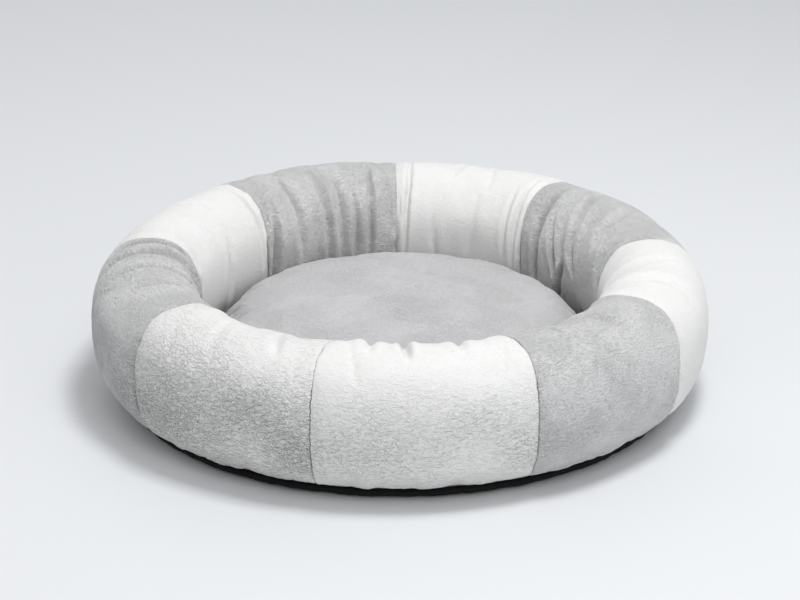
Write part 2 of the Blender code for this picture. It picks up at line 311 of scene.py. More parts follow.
def plushMaterial(name):
    finish = plushFinishes[name]
    material, tree, shader = startMaterial(name, roughness=0.95, sheen=finish["sheen"],
                                           sheenRoughness=0.45, specular=0.12)
    place = addNode(tree, "ShaderNodeUVMap", uv_map="cloth").outputs[0]
    deep = addNode(tree, "ShaderNodeAttribute", attribute_name="deep").outputs["Fac"]
    # the pile leans along the cloth, so its grain is drawn out that way, in worm-like curls
    leaning = addNode(tree, "ShaderNodeMapping", {"Vector": place, "Rotation": (0, 0, pileLean),
                                                  "Scale": (0.6, 1.15, 1.0)}).outputs[0]
    curls = noiseNode(tree, leaning, finish["curl"], detail=0.6, roughness=0.5, distortion=0.9)
    centred = mathNode(tree, "SUBTRACT", curls, 0.5)
    away = mathNode(tree, "ABSOLUTE", centred)
    worms = rangeNode(tree, away, 0.0, 0.16, 1.0, 0.0)
    fibres = noiseNode(tree, leaning, 2300.0, detail=2.0, roughness=0.7)
    nap = noiseNode(tree, place, 17.0, detail=5.0, roughness=0.60, distortion=0.35)
    brushed = rangeNode(tree, nap, 0.47, 0.54, 0.0, finish["napShare"])
    # painted shade: the hollows between the curls, and on deep pile the curls too, are mixed toward the shade
    # colour, as far as the attribute deep reaches
    hollowShade = rangeNode(tree, worms, 0.55, 0.0, finish["shade"], finish["hollowShade"])
    deepHere = mathNode(tree, "MAXIMUM", deep, finish["shy"])
    hollowShadeHere = mathNode(tree, "MULTIPLY", hollowShade, deepHere)
    body = mixColour(tree, brushed, finish["light"], finish["worn"])
    shaded = mixColour(tree, hollowShadeHere, body, finish["paintedShade"])
    # painted shade in the gaps between the fibres
    speck = rangeNode(tree, fibres, 0.30, 0.52, finish["speck"], 1.0)
    colour = mixColour(tree, speck, finish["paintedShade"], shaded)
    tree.links.new(colour, shader.inputs["Base Color"])
    height = mathNode(tree, "MULTIPLY", worms, deepHere)
    lower = bumpNode(tree, height, finish["curlBump"], 0.9)
    upper = bumpNode(tree, fibres, finish["fibreBump"], 0.8, lower)
    tree.links.new(upper, shader.inputs["Normal"])
    return material


def weaveMaterial(name, colour, paintedShade, pitch, bump, roughness, sheen, ring=0.0):
    # a plain weave on the piece's own coordinates; on a round tape of radius ring it follows the turn
    material, tree, shader = startMaterial(name, roughness=roughness, sheen=sheen, specular=0.2)
    place = addNode(tree, "ShaderNodeTexCoord").outputs["Object"]
    if ring:
        parts = addNode(tree, "ShaderNodeSeparateXYZ", {"Vector": place}).outputs
        turn = mathNode(tree, "ARCTAN2", parts[1], parts[0])
        around = mathNode(tree, "MULTIPLY", turn, ring)
        place = addNode(tree, "ShaderNodeCombineXYZ", {"X": around, "Y": parts[2]}).outputs[0]
    thread = {"Vector": place, "Scale": 1 / pitch / math.pi, "Distortion": 0.4, "Detail": 1.0}
    warp, weft = [addNode(tree, "ShaderNodeTexWave", thread, bands_direction=way).outputs[1] for way in "XY"]
    woven = mathNode(tree, "MULTIPLY", warp, weft)
    slub = noiseNode(tree, place, 60.0, detail=4.0, roughness=0.6)
    duller = tuple(part * 0.82 for part in colour)
    tint = mixColour(tree, rangeNode(tree, slub, 0.35, 0.65), colour, duller)
    # painted shade: the gaps between the threads are mixed toward the dark colour
    tree.links.new(mixColour(tree, rangeNode(tree, woven, 0.0, 0.5), paintedShade, tint), shader.inputs["Base Color"])
    tree.links.new(bumpNode(tree, woven, bump, 0.7), shader.inputs["Normal"])
    return material


def speckledMaterial(name, colour, other, scale, roughness, metallic=0.0, bump=0.0001, specular=0.4):
    material, tree, shader = startMaterial(name, roughness=roughness, specular=specular, metallic=metallic)
    place = addNode(tree, "ShaderNodeTexCoord").outputs["Object"]
    grain = noiseNode(tree, place, scale, detail=4.0, roughness=0.6)
    tint = mixColour(tree, rangeNode(tree, grain, 0.35, 0.65), colour, other)
    matt = rangeNode(tree, grain, 0.3, 0.7, roughness * 0.8, roughness * 1.15)
    tree.links.new(tint, shader.inputs["Base Color"])
    tree.links.new(matt, shader.inputs["Roughness"])
    tree.links.new(bumpNode(tree, grain, bump, 0.5), shader.inputs["Normal"])
    return material


weaveFinishes = {
    # the base cloth is black, and its colour is pushed almost to black so that it also stands in for the
    # contact shadow under the hem: painted shadow
    "baseWeaveAndShadow": {"colour": (0.010, 0.010, 0.011), "paintedShade": (0.004, 0.004, 0.004),
                  "pitch": 0.0007, "bump": 0.0002, "roughness": 0.85, "sheen": 0.0},
    "liningWeave": {"colour": (0.48, 0.48, 0.49), "paintedShade": (0.34, 0.34, 0.35),
                    "pitch": 0.0006, "bump": 0.0001, "roughness": 0.9, "sheen": 0.2},
    "zipTape": {"colour": (0.40, 0.40, 0.41), "paintedShade": (0.25, 0.25, 0.26),
                "pitch": 0.0005, "bump": 0.0001, "roughness": 0.9, "sheen": 0.2, "ring": 0.182},
    "labelSatin": {"colour": (0.85, 0.85, 0.83), "paintedShade": (0.74, 0.74, 0.72),
                   "pitch": 0.0004, "bump": 0.00004, "roughness": 0.45, "sheen": 0.3},
}
speckledFinishes = {
    "filling": {"colour": (0.90, 0.90, 0.89), "other": (0.78, 0.78, 0.77), "scale": 180.0,
                "roughness": 0.95, "bump": 0.002, "specular": 0.1},
    "gripRubber": {"colour": (0.03, 0.03, 0.032), "other": (0.05, 0.05, 0.052), "scale": 300.0,
                   "roughness": 0.6},
    "zipNylon": {"colour": (0.42, 0.42, 0.43), "other": (0.36, 0.36, 0.37), "scale": 400.0,
                 "roughness": 0.4},
    "zipMetal": {"colour": (0.62, 0.62, 0.63), "other": (0.50, 0.50, 0.51), "scale": 900.0,
                 "roughness": 0.32, "metallic": 1.0, "bump": 0.00002, "specular": 0.5},
}
materials = {name: plushMaterial(name) for name in plushFinishes}
materials.update({name: weaveMaterial(name, **finish) for name, finish in weaveFinishes.items()})
materials.update({name: speckledMaterial(name, **finish) for name, finish in speckledFinishes.items()})


# bolster: the tube's section and the panels sewn round it

bolster = {
    "squareness": 2.65,       # exponent of the tube's rounded-square section
    "hemAngle": 68.0,         # degrees below the tube's middle
    "columns": 44,            # cells along a panel, before refining
    "rows": 76,               # cells from hem to hem
    "crowd": 0.30,            # how much closer the columns stand by the seams
    "slack": 0.0018,          # start inside the CAD face, because the pressure fills it out
    "growth": 0.012,          # share that the cloth grows by, so that it folds
    "pressure": 400.0,
    "bending": 0.4,
    "most": (0.0050, 0.0032),  # how far the cloth may move in and out
    "uneven": 0.0016,         # height of the soft lumps in the stuffing
    "heldBySeam": 0.010,      # the stitches hold the cloth flat this far from a seam
    "stuffed": ((94, 72, 0.0056), (130, 20, 0.0025), (58, 18, 0.0020)),  # azimuth, spread, height
    "hemPucker": 0.0016,
    "hemDip": 0.0022,
    "turnIn": 0.0022,         # seam allowance
    "fillInset": 0.0150,      # from the panels' faces to the stuffing
    "foldWidth": 0.77,        # every listed fold is this much of its width
    "foldDepth": 2.15,        # and of its depth
    "seam": {"depth": 0.0005, "width": 0.0020, "sink": 0.0007, "reach": 0.008, "pucker": 0.0007,
             "stitch": 0.0044, "notch": 0.0004, "close": 0.0009, "wander": 0.0004, "quiet": 0.45},
    "relief": {"white": {"height": 0.0013, "long": 0.0050, "across": 0.0027},
               "grey": {"height": 0.0005, "long": 0.0050, "across": 0.0030}},
}

panelNodes = [n for n in frame["nodes"] if n.startswith("panel_")]
panelSpans = {n: azimuthSpan(n) for n in panelNodes}
panelTurns = {n: math.radians(span[1] - span[0]) for n, span in panelSpans.items()}
whiteSeam = panelSpans["panel_front_left_white"][1] % 360


def readTube():
    # the tube's size and place, worked back from the panels' corners
    points = np.concatenate([nodePoints(n) for n in panelNodes])
    away = fromAxis(points)
    low, high = points[:, 2].min(), points[:, 2].max()
    inner, outer = away.min(), away.max()
    halfWidth = (outer - inner) / 2
    hem = math.radians(bolster["hemAngle"])
    power = bolster["squareness"]
    halfHeight = (high - low) / 2
    for _ in range(20):
        reach = ((math.cos(hem) / halfWidth) ** power + (math.sin(hem) / halfHeight) ** power) ** (-1 / power)
        halfHeight = (high - low) / (1 + reach * math.sin(hem) / halfHeight)
    return {"radius": (inner + outer) / 2, "halfWidth": halfWidth, "halfHeight": halfHeight,
            "middle": high - halfHeight}


tube = readTube()
print("tube", {key: round(value, 4) for key, value in tube.items()})


def tubeSection(inset, count):
    # radius and height from the outer hem over the top to the inner hem, evenly spaced, and the length
    hem = math.radians(bolster["hemAngle"])
    angle = np.linspace(-hem, math.pi + hem, 2000)
    power = bolster["squareness"]
    halfWidth = tube["halfWidth"] - inset
    halfHeight = tube["halfHeight"] - inset
    reach = (np.abs(np.cos(angle) / halfWidth) ** power
             + np.abs(np.sin(angle) / halfHeight) ** power) ** (-1 / power)
    centre = np.array([tube["radius"], tube["middle"]])
    return resample(centre + np.stack([reach * np.cos(angle), reach * np.sin(angle)], axis=1), count)


def crowded(x):
    # columns stand closer at both ends of the range -1 to 1
    return x + bolster["crowd"] * np.sin(math.pi * x) / math.pi


def wornPoints(node, pattern):
    # the panel's nominal place on the tube
    section, length = tubeSection(bolster["slack"], 400)
    t = pattern[:, 1]
    rows = np.linspace(0, 1, 400)
    radius = np.interp(t, rows, section[:, 0])
    height = np.interp(t, rows, section[:, 1])
    part = (crowded(pattern[:, 0] * 2 - 1) + 1) / 2
    azimuth = math.radians(panelSpans[node][0]) + panelTurns[node] * part
    return polar(radius, azimuth, height), radius, length


def cutPoints(node, pattern):
    # the same panel laid flat, with its middle at zero
    _, radius, length = wornPoints(node, pattern)
    width = radius * panelTurns[node]
    return np.stack([crowded(pattern[:, 0] * 2 - 1) / 2 * width, pattern[:, 1] * length], axis=1)


def addCloth(piece, pinned, settingsOf):
    # the cloth grows a little between its sewn edges, so that it folds, and the stuffing presses it out
    group = piece.vertex_groups.new(name="sewn")
    group.add([int(i) for i in np.nonzero(pinned)[0]], 1.0, "REPLACE")
    cloth = piece.modifiers.new("cloth", "CLOTH")
    settings = {"quality": 7, "mass": 0.3, "tension_stiffness": 30.0, "compression_stiffness": 30.0,
                "shear_stiffness": 10.0, "bending_stiffness": settingsOf["bending"],
                "tension_damping": 10, "compression_damping": 10, "shear_damping": 10,
                "bending_damping": 2, "shrink_min": -settingsOf["growth"], "use_pressure": True,
                "uniform_pressure_force": settingsOf["pressure"], "vertex_group_mass": "sewn"}
    for key, value in settings.items():
        setattr(cloth.settings, key, value)
    cloth.settings.effector_weights.gravity = 0
    cloth.collision_settings.use_collision = False
    cloth.collision_settings.use_self_collision = False
    cloth.point_cache.frame_start = 1
    cloth.point_cache.frame_end = clothFrames


def limited(moved, normals, most):
    # the cloth's movement, eased off so that it never passes most = (in, out) along the normal
    height = np.sum(moved * normals, axis=1)
    side = moved - normals * height[:, None]
    bound = np.where(height < 0, most[0], most[1])
    height = bound * np.tanh(height / bound)
    size = np.maximum(np.linalg.norm(side, axis=1), 1e-9)
    side = side * (most[1] * np.tanh(size / most[1]) / size)[:, None]
    return normals * height[:, None] + side


def foldShift(cloth, start, end, bend, width, depth):
    # a groove with a soft ridge on each side, along a slightly bent line that fades at both ends
    middle = (start + end) / 2 + np.array([-(end - start)[1], (end - start)[0]]) * bend
    share = np.linspace(0, 1, 13)[:, None]
    line = start * (1 - share) ** 2 + 2 * middle * share * (1 - share) + end * share ** 2
    distance = np.full(len(cloth), 1.0)
    passed = np.zeros(len(cloth))
    for i, (first, second) in enumerate(zip(line, line[1:])):
        step = second - first
        part = np.clip((cloth - first) @ step / (step @ step), 0, 1)
        gap = np.linalg.norm(cloth - first - part[:, None] * step, axis=1)
        closer = gap < distance
        distance = np.where(closer, gap, distance)
        passed = np.where(closer, (i + part) / (len(line) - 1), passed)
    fade = np.sin(math.pi * np.clip(passed, 0.02, 0.98)) ** 0.7
    width = width * (0.75 + 0.5 * np.sin(math.pi * passed))
    ridge = bell(distance - 2.0 * width, 1.3 * width) * 0.32
    return depth * fade * (ridge - bell(distance, width))


def curled(cloth, long, across, seed):
    # worm-like curls of the pile, leaning across the cloth, from 0 to 1
    x = cloth[:, 0] * math.cos(pileLean) + cloth[:, 1] * math.sin(pileLean)
    y = cloth[:, 1] * math.cos(pileLean) - cloth[:, 0] * math.sin(pileLean)
    place = np.stack([x, y, np.zeros(len(x))], axis=1)
    bent = place + np.stack([noise(place, 0.006, seed + i) for i in (1, 2, 3)], axis=1) * 0.0016
    first = 1 - np.abs(noise(bent / np.array([long, across, 1.0]), 1.0, seed))
    second = 1 - np.abs(noise(bent / np.array([long, across, 1.0]) * 1.7, 1.0, seed + 9))
    return (first ** 2 + 0.6 * second ** 2) / 1.6


clothFrames = 24

# how each panel is gathered: the height of the waves it starts with and how they lean, its pile's depth on
# the outside and what share of it the inside has, and single folds, listed from one (across, along) share of
# the panel to another, with their bend, width and depth
# pile also sets how much painted shade each panel's plush gets, so deep-pile panels such as the front-left
# are painted darker
panelGather = {
    "panel_right_rear": {"wave": 0.0044, "pile": 1.0, "inside": 0.7, "lean": 0.3, "folds": (
        ((0.88, 0.5), (0.84, 0.9), 0.06, 0.005, 0.004), ((0.72, 0.44), (0.4, 0.76), -0.06, 0.006, 0.0036),
        ((0.55, 0.74), (0.66, 0.92), 0.04, 0.006, 0.0042), ((0.45, 0.46), (0.22, 0.66), 0.05, 0.007, 0.0026),
        ((0.78, 0.62), (0.6, 0.84), 0.04, 0.0045, 0.0024))},
    "panel_rear": {"wave": 0.0026, "pile": 0.25, "inside": 0.22, "lean": 0.1, "folds": (
        ((0.91, 0.44), (0.93, 0.86), 0.02, 0.004, 0.0022), ((0.07, 0.5), (0.085, 0.86), 0.02, 0.0042, 0.0018),
        ((0.15, 0.56), (0.165, 0.8), 0.05, 0.0044, 0.0011),
        ((0.56, 0.42), (0.62, 0.55), 0.03, 0.0035, 0.0018),
        ((0.4, 0.62), (0.46, 0.88), 0.04, 0.008, 0.0009), ((0.72, 0.66), (0.7, 0.9), 0.04, 0.007, 0.0008))},
    "panel_left_rear": {"wave": 0.004, "pile": 1.0, "inside": 0.6, "lean": -0.05, "folds": (
        ((0.54, 0.46), (0.5, 0.88), 0.04, 0.006, 0.0034), ((0.16, 0.47), (0.2, 0.88), -0.03, 0.005, 0.0032),
        ((0.4, 0.52), (0.42, 0.84), 0.03, 0.007, 0.0022), ((0.3, 0.6), (0.31, 0.9), 0.03, 0.005, 0.0022),
        ((0.9, 0.62), (0.95, 0.92), -0.04, 0.0055, 0.0044), ((0.76, 0.5), (0.72, 0.8), 0.05, 0.007, 0.0024))},
    "panel_left_upper": {"wave": 0.0016, "pile": 0.08, "inside": 0.22, "lean": 0.0, "folds": (
        ((0.1, 0.46), (0.08, 0.8), 0.03, 0.004, 0.0016), ((0.45, 0.7), (0.5, 0.9), 0.04, 0.007, 0.0016))},
    "panel_left": {"wave": 0.0036, "pile": 1.4, "inside": 0.5, "lean": -0.15, "folds": (
        ((0.17, 0.36), (0.1, 0.76), 0.1, 0.005, 0.005), ((0.31, 0.34), (0.25, 0.78), 0.12, 0.0056, 0.0052),
        ((0.46, 0.38), (0.44, 0.74), 0.1, 0.0056, 0.0044), ((0.66, 0.42), (0.72, 0.68), 0.05, 0.007, 0.0034),
        ((0.22, 0.52), (0.17, 0.8), 0.08, 0.004, 0.0026))},
    "panel_front_left": {"wave": 0.0022, "pile": 1.0, "inside": 0.22, "lean": 0.1, "folds": (
        ((0.8, 0.42), (0.7, 0.56), 0.05, 0.006, 0.0016), ((0.6, 0.6), (0.58, 0.86), 0.05, 0.007, 0.0022))},
    "panel_front": {"wave": 0.0024, "pile": 0.45, "inside": 0.14, "lean": 0.0, "folds": (
        ((0.43, 0.44), (0.41, 0.62), 0.05, 0.005, 0.0036), ((0.24, 0.46), (0.22, 0.64), 0.05, 0.006, 0.0018),
        ((0.7, 0.46), (0.74, 0.66), 0.05, 0.006, 0.0018))},
    "panel_front_right": {"wave": 0.003, "pile": 0.8, "inside": 0.3, "lean": 0.2, "folds": (
        ((0.46, 0.36), (0.3, 0.5), 0.08, 0.008, 0.0026), ((0.66, 0.4), (0.56, 0.56), 0.08, 0.007, 0.0026),
        ((0.3, 0.46), (0.22, 0.66), 0.05, 0.006, 0.0026))},
    "panel_right": {"wave": 0.0022, "pile": 0.12, "inside": 0.22, "lean": 0.15, "folds": (
        ((0.7, 0.44), (0.52, 0.72), 0.1, 0.007, 0.002), ((0.4, 0.4), (0.24, 0.66), 0.1, 0.008, 0.0018))},
}


def startPanel(node):
    white = node.endswith("white")
    piece = gridPiece(node.replace("panel", "cover"), bolster["columns"], bolster["rows"],
                      materials["whitePlush" if white else "greyPlush"])
    pattern = getPattern(piece.data)
    worn, _, _ = wornPoints(node, pattern)
    setPoints(piece.data, worn)
    gather = panelGather[node.rsplit("_", 1)[0]]
    cloth = cutPoints(node, pattern)
    # long waves that run from hem to hem and lean a little
    leaning = cloth[:, 0] + cloth[:, 1] * gather["lean"]
    place = np.stack([leaning, cloth[:, 1] * 0.2, np.full(len(worn), panelNodes.index(node) * 0.5)], axis=1)
    inner = 0.12 + 0.88 * ramp(pattern[:, 1], 0.40, 0.66)
    edge = np.minimum(np.minimum(pattern[:, 0], 1 - pattern[:, 0]) * 9, 1)
    edge = edge * np.minimum(np.minimum(pattern[:, 1], 1 - pattern[:, 1]) * 8, 1)
    pushOut(piece.data, noise(place, 0.017, seed=5) * gather["wave"] * inner * edge)
    pinned = (pattern.min(axis=1) < 0.001) | (pattern.max(axis=1) > 0.999)
    addCloth(piece, pinned, bolster)
    return piece


def stuffingShift(points, share, toHem):
    # soft lumps, and the parts of the ring that are stuffed more
    shift = noise(points, 0.085, 3) * bolster["uneven"] + noise(points, 0.036, 4) * bolster["uneven"] * 0.4
    shift = shift * ramp(toHem, 0.0, 0.03)
    azimuth = np.degrees(np.arctan2(points[:, 1], points[:, 0]))
    for at, spread, height in bolster["stuffed"]:
        turn = (azimuth - at + 180) % 360 - 180
        shift = shift + height * bell(turn, spread) * bell(share - 0.5, 0.22)
    return shift


def seamShift(toSeam, along, quiet, seed):
    # the valley beside a seam, its puckers and the notches that the stitches pull
    seam = bolster["seam"]
    valley = quiet * seam["depth"] * bell(toSeam, seam["width"]) + seam["sink"] * bell(toSeam, seam["reach"])
    pucker = seam["pucker"] * flatNoise(toSeam * 0.25, along, 0.011, seed)
    pucker = pucker * bell(toSeam - seam["width"], seam["width"] * 2.2)
    stitch = 0.5 + 0.5 * np.cos(2 * math.pi * along / seam["stitch"])
    return pucker - valley - seam["notch"] * stitch * bell(toSeam, seam["width"] * 0.55)


def hemShift(across, toHem):
    gathers = flatNoise(across, toHem * 0.3, 0.013, 11)
    gathers = bolster["hemPucker"] * gathers * bell(toHem, 0.018) * ramp(toHem, 0.0, 0.004)
    return gathers - bolster["hemDip"] * bell(toHem, 0.004)


def dressPanel(node, piece):
    # seams, hems, listed folds and the pile's relief, on the finer mesh
    mesh = piece.data
    number = panelNodes.index(node)
    gather = panelGather[node.rsplit("_", 1)[0]]
    pattern = getPattern(mesh)
    cloth = cutPoints(node, pattern)
    setCloth(mesh, cloth)
    _, radius, length = wornPoints(node, pattern)
    width = radius * panelTurns[node]
    toSeam = width / 2 - np.abs(cloth[:, 0])
    side = np.sign(cloth[:, 0])
    along = cloth[:, 1]
    toHem = np.minimum(along, length - along)
    # the seam between two whites shows less than the others
    seam = bolster["seam"]
    seamAt = np.where(side > 0, panelSpans[node][1], panelSpans[node][0]) % 360
    quiet = np.where(np.abs(seamAt - whiteSeam) < 3, seam["quiet"], 1.0)
    shift = stuffingShift(readPoints(mesh), pattern[:, 1], toHem)
    shift = shift + seamShift(toSeam, along, quiet, 7 + number) + hemShift(cloth[:, 0], toHem)
    # the folds lie on a rectangle as wide as the panel's widest row
    size = np.array([width.max(), length])
    place = np.stack([(cloth[:, 0] / width + 0.5) * size[0], along], axis=1)
    for start, end, bend, wide, deep in gather["folds"]:
        shift = shift + foldShift(place, start * size, end * size, bend, wide * bolster["foldWidth"],
                                  deep * bolster["foldDepth"])
    # the pile stands deepest on the outer wall, and lies flatter by the hem, on the top and on the inner
    # side; the same share sets both the relief and how much painted shade the plush material lays on the
    # panel
    relief = bolster["relief"]["white" if node.endswith("white") else "grey"]
    curls = curled(cloth, relief["long"], relief["across"], 20 + number)
    patchy = 0.75 + 0.35 * flatNoise(cloth[:, 0], along, 0.045, 31)
    byHem = 0.5 + 0.5 * ramp(pattern[:, 1], 0.02, 0.20)
    inward = 1 - (1 - gather["inside"]) * ramp(pattern[:, 1], 0.22, 0.42)
    deep = inward * byHem * patchy * gather["pile"]
    setShare(mesh, "deep", deep.clip(0, 1.5))
    shift = shift + relief["height"] * (curls - 0.6) * deep * ramp(toSeam, 0.001, 0.006)
    pushOut(mesh, shift - quiet * bolster["turnIn"] * (toSeam < 0.00001))
    # the last columns are drawn to the seam, so that the neighbours meet
    points = readPoints(mesh)
    pull = side * (toSeam * 0.85 * bell(toSeam, seam["close"]) + 0.00014)
    # the stitched line wanders a little, the same for both panels of a seam
    seamNumber = np.round((seamAt + 1.1) / 5)
    wander = flatNoise(along, seamNumber * 0.1, seam["stitch"] * 0.9, 15)
    pull = pull + seam["wander"] * wander * bell(toSeam, 0.004)
    around = np.stack([-points[:, 1], points[:, 0]], axis=1)
    points[:, :2] += around / np.linalg.norm(around, axis=1)[:, None] * pull[:, None]
    setPoints(mesh, points)


panels = {node: startPanel(node) for node in panelNodes}
print("panels cut")


# cushion: two round covers sewn at the rim, over a filling, with a zip round the back

cushion = {
    "radius": radii("cushion_top_cover")[1],
    "seam": 0.032,
    "crown": nodePoints("cushion_top_cover")[:, 2].max(),
    "under": nodePoints("cushion_bottom_cover")[:, 2].min(),
    "flat": 0.150,                 # radius of the part that lies on the floor lining
    "topRoundness": (2.2, 4.0),
    "sideRoundness": 2.2,
    "cells": 72,
    "slack": 0.0010,
    "growth": 0.014,
    "pressure": 300.0,
    "bending": 0.4,
    "wave": 0.0030,
    "uneven": (0.0010, 0.0004),    # heights of the broad and the small lumps
    "pucker": 0.0019,
    "rimDip": 0.0020,
    "stitch": 0.0045,
    "notch": 0.0004,
    "relief": {"height": 0.00022, "long": 0.0050, "across": 0.0034},
    "turnIn": (0.0035, 0.0042),    # seam allowance, and the same by the zip
    "zipMiddle": 90.0,
    "zipHalf": 50.5,               # half of the zip's arc, in degrees
    "zipEnd": (1.0, 1.6),          # how far past it the opening ends, and over how many degrees
    "zipOpening": 0.0061,          # from the seam to each turned-in edge by the zip
    "fillInset": (0.0085, 0.0050),  # from the covers' faces to the stuffing, above and below
    "creasesAt": (-38, -24, -8, 4, 14, 24, 33, 45, 62, 84, 101, 120, 136, 147, 158, 167, 178, 188, 199, 212,
                  233, 262, 291),
}


def topOutline(inset, count):
    angle = np.linspace(0, math.pi / 2, 800)
    along, up = cushion["topRoundness"]
    r = (cushion["radius"] - inset) * np.cos(angle).clip(0) ** (2 / along)
    z = cushion["seam"] + (cushion["crown"] - cushion["seam"] - inset) * np.sin(angle) ** (2 / up)
    return resample(np.stack([r, z], axis=1)[::-1], count)


def underOutline(inset, count):
    angle = np.linspace(0, math.pi / 2, 800)
    side = cushion["radius"] - cushion["flat"] - inset
    drop = cushion["seam"] - cushion["under"] - inset
    r = cushion["flat"] + side * np.cos(angle).clip(0) ** (2 / cushion["sideRoundness"])
    z = cushion["seam"] - drop * np.sin(angle) ** (2 / cushion["sideRoundness"])
    outline = np.concatenate([[[0.0, z[-1]]], np.stack([r, z], axis=1)[::-1]])
    return resample(outline, count)


def onDisc(pattern):
    # share of the radius and azimuth for a square pattern laid over a disc
    a, b = pattern[:, 0] * 2 - 1, pattern[:, 1] * 2 - 1
    wide = np.abs(a) > np.abs(b)
    share = np.where(wide, a, b)
    beside = math.pi / 4 * b / np.where(wide, a, 1)
    above = math.pi / 2 - math.pi / 4 * a / np.where(b == 0, 1, b)
    turn = np.where((a == 0) & (b == 0), 0, np.where(wide, beside, above))
    x, y = share * np.cos(turn), share * np.sin(turn)
    return np.hypot(x, y), np.arctan2(y, x)


def discPoints(pattern, outline, mirrored):
    share, azimuth = onDisc(pattern)
    if mirrored:
        azimuth = math.pi - azimuth
    rows = np.linspace(0, 1, len(outline))
    r, z = np.interp(share, rows, outline[:, 0]), np.interp(share, rows, outline[:, 1])
    return polar(r, azimuth, z), share, azimuth


def startDisc(name, outline, mirrored, wave):
    piece = gridPiece(name, cushion["cells"], cushion["cells"], materials["cushionPlush"])
    pattern = getPattern(piece.data)
    worn, share, azimuth = discPoints(pattern, outline, mirrored)
    setPoints(piece.data, worn)
    rim = polar(1, azimuth, share * 0.9) * cushion["radius"]
    uneven = noise(rim, 0.016, 41) * ramp(share, 0.50, 0.86) + 0.35 * noise(worn, 0.05, 42)
    pushOut(piece.data, uneven * wave * ramp(1 - share, 0.0, 0.06))
    pinned = share > 0.999
    addCloth(piece, pinned, cushion)
    return piece


# short creases that run in from the rim: azimuth, length, bend, width and depth
draw = np.random.default_rng(11)
cushionCreases = [(math.radians(at + draw.uniform(-5, 5)), draw.uniform(0.022, 0.060),
                   draw.uniform(-0.25, 0.25), draw.uniform(0.0028, 0.0046), draw.uniform(0.0018, 0.0038))
                  for at in cushion["creasesAt"]]


def rimShift(toRim, azimuth):
    # gathers, the valley and the stitches' notches by the rim
    pucker = noise(polar(cushion["radius"], azimuth, toRim * 0.15), 0.009, 46)
    stitch = 0.5 + 0.5 * np.cos(2 * math.pi * azimuth * cushion["radius"] / cushion["stitch"])
    return (cushion["pucker"] * pucker * bell(toRim - 0.010, 0.016)
            - cushion["rimDip"] * bell(toRim, 0.0040) - cushion["notch"] * stitch * bell(toRim, 0.002))


def dressDisc(piece, outline, length, mirrored, side):
    mesh = piece.data
    worn, share, azimuth = discPoints(getPattern(mesh), outline, mirrored)
    cloth = polar(share, azimuth, share)[:, :2] * length
    setCloth(mesh, cloth)
    # deep sets the bump of the cushion's pile and the painted shade in its hollows, varying at random
    setShare(mesh, "deep", 0.5 + 0.2 * noise(worn, 0.05, 47))
    toRim = (1 - share) * length
    shift = noise(worn, 0.07, 44) * cushion["uneven"][0] + noise(worn, 0.028, 45) * cushion["uneven"][1]
    relief = cushion["relief"]
    curls = curled(cloth, relief["long"], relief["across"], 50 + side)
    shift = shift + rimShift(toRim, azimuth) + relief["height"] * (curls - 0.6)
    for at, long, bend, width, depth in cushionCreases if side > 0 else []:
        start = np.array([math.cos(at), math.sin(at)]) * (length - 0.004)
        end = np.array([math.cos(at + bend * 0.4), math.sin(at + bend * 0.4)]) * (length - long)
        shift = shift + foldShift(cloth, start, end, bend, width, depth)
    pushOut(mesh, shift)
    # by the zip the rim is drawn apart and turned in to the tape; elsewhere its allowance is turned in
    points = readPoints(mesh)
    fromMiddle = (azimuth - math.radians(cushion["zipMiddle"]) + math.pi) % (2 * math.pi) - math.pi
    past, over = cushion["zipEnd"]
    opened = ramp(math.radians(cushion["zipHalf"] + past) - np.abs(fromMiddle), 0, math.radians(over))
    points[:, 2] += side * cushion["zipOpening"] * opened * bell(toRim, 0.012)
    inward = np.where(opened > 0.5, cushion["turnIn"][1], cushion["turnIn"][0]) * (toRim < 0.00001)
    setPoints(mesh, points - polar(inward, azimuth, inward * 0))


discs = {
    "cushion_top": {"node": "cushion_top_cover", "outline": topOutline, "mirrored": False, "side": 1,
                    "wave": cushion["wave"], "most": (0.0045, 0.0028)},
    "cushion_under": {"node": "cushion_bottom_cover", "outline": underOutline, "mirrored": True, "side": -1,
                      "wave": 0.0006, "most": (0.0030, 0.0010)},
}
for name, disc in discs.items():
    disc["line"], disc["length"] = disc["outline"](cushion["slack"], 300)
    disc["piece"] = startDisc(name, disc["line"], disc["mirrored"], disc["wave"])
print("cushion cut")

for step in range(1, clothFrames + 1):
    scene.frame_set(step)
print("cloth settled")


def settle(piece, worn, most, held=1.0):
    # the settled cloth, kept near its nominal place and refined
    mesh = bake(piece)
    moved = readPoints(mesh) - worn
    setPoints(mesh, worn)
    setPoints(mesh, worn + limited(moved, readPoints(mesh, "normal"), most) * held)
    refine(piece, 2)


for node, piece in panels.items():
    pattern = getPattern(piece.data)
    toSeam = tube["radius"] * panelTurns[node] * np.minimum(pattern[:, 0], 1 - pattern[:, 0])
    held = 0.1 + 0.9 * ramp(toSeam, 0.0, bolster["heldBySeam"])
    settle(piece, wornPoints(node, pattern)[0], bolster["most"], held[:, None])
    dressPanel(node, piece)
print("panels dressed")

for disc in discs.values():
    piece = disc["piece"]
    worn, _, _ = discPoints(getPattern(piece.data), disc["line"], disc["mirrored"])
    settle(piece, worn, disc["most"])
    dressDisc(piece, disc["line"], disc["length"], disc["mirrored"], disc["side"])
    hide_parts(disc["node"])
    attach(piece, "cushion")
scene.frame_set(1)
print("cushion dressed")


# stuffing: closed bodies just inside the covers

ring, _ = tubeSection(bolster["fillInset"], 72)
bolsterFilling = spinPiece("bolster_filling", ring, 120, materials["filling"], closed=True)
pushOut(bolsterFilling.data, noise(readPoints(bolsterFilling.data), 0.05, 61) * 0.0012)
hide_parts("bolster_fill")

